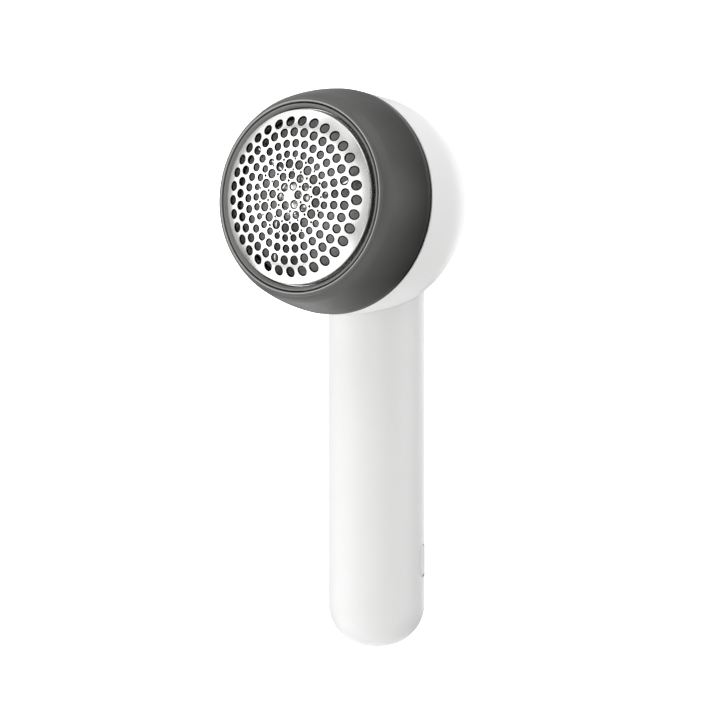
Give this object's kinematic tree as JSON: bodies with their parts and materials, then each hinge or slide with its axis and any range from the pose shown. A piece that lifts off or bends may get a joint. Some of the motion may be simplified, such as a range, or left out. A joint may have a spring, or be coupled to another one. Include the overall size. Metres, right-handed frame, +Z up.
{
  "type": "fabric shaver",
  "caption": "Hand-held fabric shaver: domed perforated foil in a dark ring housing, white rounded head, round white handle, powered rotary blades inside.",
  "frame": {"origin": "on the handle's axis, at the middle of its straight grip", "axes": "+Z up the handle towards the head; -Y the way the foil faces; +X to the right seen from in front of the foil"},
  "size_m": [0.068, 0.0685, 0.1709],
  "materials": {
    "white_shell": "satin moulded",
    "charcoal_housing": "satin moulded",
    "frame_grey": "satin moulded",
    "foil_steel": "bright, fine circular polish",
    "blade_steel": "ground",
    "carrier_grey": "satin moulded",
    "cap_metal": "polished",
    "seal_rubber": "matt",
    "spring_steel": "drawn wire",
    "spindle_plastic": "satin moulded",
    "motor_steel": "zinc plated",
    "shaft_steel": "ground",
    "magnet": "sintered",
    "copper": "enamelled copper",
    "bronze": "sintered bronze",
    "motor_plastic": "moulded",
    "terminal_metal": "tinned or nickel plated",
    "mount_plastic": "moulded",
    "screw_steel": "nickel plated",
    "plunger_plastic": "moulded",
    "light_guide": "translucent",
    "button_plastic": "satin moulded",
    "led": "clear",
    "board": "solder mask",
    "chip": "moulded",
    "cell_wrap": "heat-shrink sleeve",
    "foam": "foam",
    "socket_steel": "nickel plated",
    "tongue_plastic": "moulded",
    "soft_white": "silicone",
    "wire_red": "silicone insulation",
    "wire_black": "silicone insulation"
  },
  "bodies": {
    "body": {"rear_dome": "white_shell", "handle_shell": "white_shell", "neck_screws": "screw_steel", "light_ring": "light_guide", "switch_board": "board", "switch_body": "motor_plastic", "ring_leds": "led", "handle_tray": "mount_plastic", "battery_cell": "cell_wrap", "cell_tabs": "terminal_metal", "foam_pad": "foam", "charge_board": "board", "board_parts": "chip", "board_screws": "screw_steel", "usb_socket": "socket_steel", "usb_tongue": "tongue_plastic", "motor_wires": "wire_red", "handle_wires": "wire_black", "motor_can": "motor_steel", "motor_end_bell": "motor_plastic", "motor_terminals": "terminal_metal", "motor_brushes": "copper", "motor_bushes": "bronze", "motor_magnets": "magnet", "motor_mount": "mount_plastic", "motor_damper": "seal_rubber", "motor_screws": "screw_steel", "mount_screws": "screw_steel", "safety_switch": "motor_plastic", "dust_seal": "seal_rubber"},
    "drive": {"motor_shaft": "shaft_steel", "armature": "motor_steel", "windings": "copper", "commutator": "copper", "drive_spindle": "spindle_plastic", "float_spring": "spring_steel"},
    "cutter": {"blade_carrier": "carrier_grey", "blades": "blade_steel", "blade_cap": "cap_metal"},
    "front": {"front_housing": "charcoal_housing"},
    "foil_unit": {"foil": "foil_steel", "foil_frame": "frame_grey", "foil_retainer": "carrier_grey"},
    "button": {"power_button": "button_plastic", "switch_stem": "plunger_plastic"},
    "interlock": {"safety_plunger": "plunger_plastic"},
    "cover": {"port_cover": "soft_white"}
  },
  "joints": [
    {"name": "blade_spin", "type": "hinge", "parent": "body", "child": "drive", "pos_m": [0, -0.023, 0.08], "axis": [0, -1, 0], "continuous": true},
    {"name": "blade_float", "type": "slide", "parent": "drive", "child": "cutter", "axis": [0, -1, 0], "range_m": [-0.001, 0], "stiffness_N_per_m": 300, "springref_m": 0.002, "deforming": ["float_spring"]},
    {"name": "housing_pull", "type": "slide", "parent": "body", "child": "front", "axis": [0, -1, 0], "range_m": [0, 0.03]},
    {"name": "foil_twist", "type": "hinge", "parent": "front", "child": "foil_unit", "pos_m": [0, -0.023, 0.08], "axis": [0, -1, 0], "range_deg": [0, 20]},
    {"name": "button_press", "type": "slide", "parent": "body", "child": "button", "axis": [0, -1, 0], "range_m": [0, 0.0005], "stiffness_N_per_m": 1500, "springref_m": -0.001},
    {"name": "interlock_press", "type": "slide", "parent": "body", "child": "interlock", "axis": [0, 1, 0], "range_m": [0, 0.0004], "stiffness_N_per_m": 800, "springref_m": -0.0005},
    {"name": "port_cover_flip", "type": "hinge", "parent": "body", "child": "cover", "pos_m": [0.01447, 0.00415, -0.02515], "axis": [0.2756, -0.9613, 0], "range_deg": [0, 110]}
  ]
}
